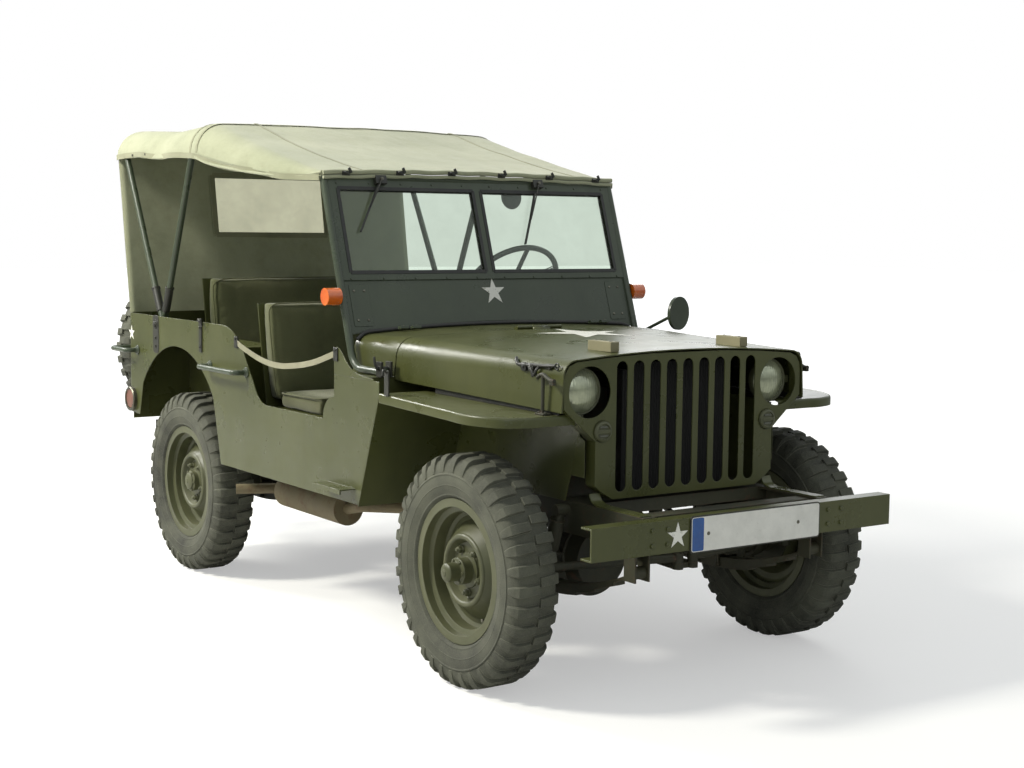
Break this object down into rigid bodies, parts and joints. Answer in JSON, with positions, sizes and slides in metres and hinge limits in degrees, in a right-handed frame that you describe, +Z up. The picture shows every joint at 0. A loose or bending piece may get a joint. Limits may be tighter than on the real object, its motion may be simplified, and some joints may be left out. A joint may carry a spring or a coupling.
{
  "type": "light military four-wheel-drive car",
  "caption": "Open light army car with four driven wheels, fold-up hood, slotted grille, folding windshield, canvas top over bows, bucket seats, spare wheel at the rear and working steering",
  "frame": {"origin": "ground level, middle of the bounding box in x and y", "axes": "front looks towards -Y, the driver's side is +X, up is +Z"},
  "size_m": [1.572, 3.3586, 1.8048],
  "materials": {
    "olive_paint": "satin, dusty",
    "black_paint": "satin",
    "engine_iron": "matte, oily",
    "exhaust_steel": "rough, rusty",
    "black_plastic": "matte",
    "lamp_metal": "clear fluted",
    "amber": "clear gloss",
    "red": "clear gloss",
    "pane": "clear",
    "canvas": "matte, faded",
    "seat_canvas": "matte",
    "tyre": "matte, dusty"
  },
  "bodies": {
    "body": {"frame": "olive_paint", "front_bumper": "olive_paint", "front_axle": "olive_paint", "rear_axle": "olive_paint", "grille": "olive_paint", "front_fenders": "olive_paint", "cowl": "olive_paint", "floor": "olive_paint", "body_side_left": "olive_paint", "body_side_right": "olive_paint", "rear_panel": "olive_paint", "wheelhouses": "olive_paint", "windshield_frame": "olive_paint", "seat_frames": "olive_paint", "grab_handles": "olive_paint", "rear_bumpers": "olive_paint", "spare_wheel": "olive_paint", "suspension": "black_paint", "top_bows": "black_paint", "steering_column": "black_paint", "radiator": "black_paint", "drivetrain": "engine_iron", "exhaust": "exhaust_steel", "mirror": "black_plastic", "front_lamps": "lamp_metal", "indicators": "amber", "tail_lamps": "red", "windshield_glass": "pane", "rear_window": "pane", "canvas_top": "canvas", "seat_cushions": "seat_canvas", "spare_tyre": "tyre"},
    "hood": {"hood": "olive_paint"},
    "steering_wheel": {"steering_wheel": "black_plastic"},
    "knuckle_left": {"knuckle_left": "olive_paint"},
    "knuckle_right": {"knuckle_right": "olive_paint"},
    "wheel_front_left": {"wheel_front_left": "olive_paint", "tyre_front_left": "tyre"},
    "wheel_front_right": {"wheel_front_right": "olive_paint", "tyre_front_right": "tyre"},
    "wheel_rear_left": {"wheel_rear_left": "olive_paint", "tyre_rear_left": "tyre"},
    "wheel_rear_right": {"wheel_rear_right": "olive_paint", "tyre_rear_right": "tyre"},
    "tie_rod_left": {"tie_rod_left": "black_paint"},
    "tie_rod_right": {"tie_rod_right": "black_paint"},
    "bellcrank": {"bellcrank": "black_paint"},
    "drag_link": {"drag_link": "black_paint"},
    "pitman_arm": {"pitman_arm": "black_paint"}
  },
  "joints": [
    {"name": "hood_hinge", "type": "hinge", "parent": "body", "child": "hood", "pos_m": [0, -0.5785, 1.055], "axis": [-1, 0, 0], "range_deg": [0, 105]},
    {"name": "steer_left", "type": "hinge", "parent": "body", "child": "knuckle_left", "pos_m": [0.505, -1.1235, 0.36], "axis": [0, 0, 1], "range_deg": [-26, 26]},
    {"name": "steer_right", "type": "hinge", "parent": "body", "child": "knuckle_right", "pos_m": [-0.505, -1.1235, 0.36], "axis": [0, 0, 1], "range_deg": [-26, 26]},
    {"name": "spin_front_left", "type": "hinge", "parent": "knuckle_left", "child": "wheel_front_left", "pos_m": [0.624, -1.1235, 0.36], "axis": [1, 0, 0], "continuous": true},
    {"name": "spin_front_right", "type": "hinge", "parent": "knuckle_right", "child": "wheel_front_right", "pos_m": [-0.624, -1.1235, 0.36], "axis": [1, 0, 0], "continuous": true},
    {"name": "spin_rear_left", "type": "hinge", "parent": "body", "child": "wheel_rear_left", "pos_m": [0.624, 0.9085, 0.36], "axis": [1, 0, 0], "continuous": true},
    {"name": "spin_rear_right", "type": "hinge", "parent": "body", "child": "wheel_rear_right", "pos_m": [-0.624, 0.9085, 0.36], "axis": [1, 0, 0], "continuous": true},
    {"name": "tie_rod_left_pin", "type": "hinge", "parent": "knuckle_left", "child": "tie_rod_left", "pos_m": [0.535, -1.2735, 0.3783], "axis": [0, 0, 1], "range_deg": [-26, 26]},
    {"name": "tie_rod_right_pin", "type": "hinge", "parent": "knuckle_right", "child": "tie_rod_right", "pos_m": [-0.535, -1.2735, 0.3783], "axis": [0, 0, 1], "range_deg": [-26, 26]},
    {"name": "bellcrank_pivot", "type": "hinge", "parent": "body", "child": "bellcrank", "pos_m": [0, -1.2355, 0.44], "axis": [0, 0, 1], "range_deg": [-26, 26]},
    {"name": "drag_link_pin", "type": "hinge", "parent": "bellcrank", "child": "drag_link", "pos_m": [0.13, -1.2355, 0.432], "axis": [0, 0, 1], "range_deg": [-26, 26]},
    {"name": "pitman_shaft", "type": "hinge", "parent": "body", "child": "pitman_arm", "pos_m": [0.389, -0.6935, 0.548], "axis": [1, 0, 0], "range_deg": [-29.5, 29.5]},
    {"name": "steering_shaft", "type": "hinge", "parent": "body", "child": "steering_wheel", "pos_m": [0.305, 0.0565, 1.16], "axis": [0, 0.788, 0.6157], "range_deg": [-338, 338]}
  ],
  "couplings": [
    {"joint": "steer_right", "follows": "steer_left", "ratio": 1},
    {"joint": "tie_rod_left_pin", "follows": "steer_left", "ratio": -1},
    {"joint": "tie_rod_right_pin", "follows": "steer_left", "ratio": -1},
    {"joint": "bellcrank_pivot", "follows": "steer_left", "ratio": 1},
    {"joint": "drag_link_pin", "follows": "steer_left", "ratio": -1},
    {"joint": "pitman_shaft", "follows": "steer_left", "ratio": 1.13},
    {"joint": "steering_shaft", "follows": "steer_left", "ratio": 13}
  ]
}
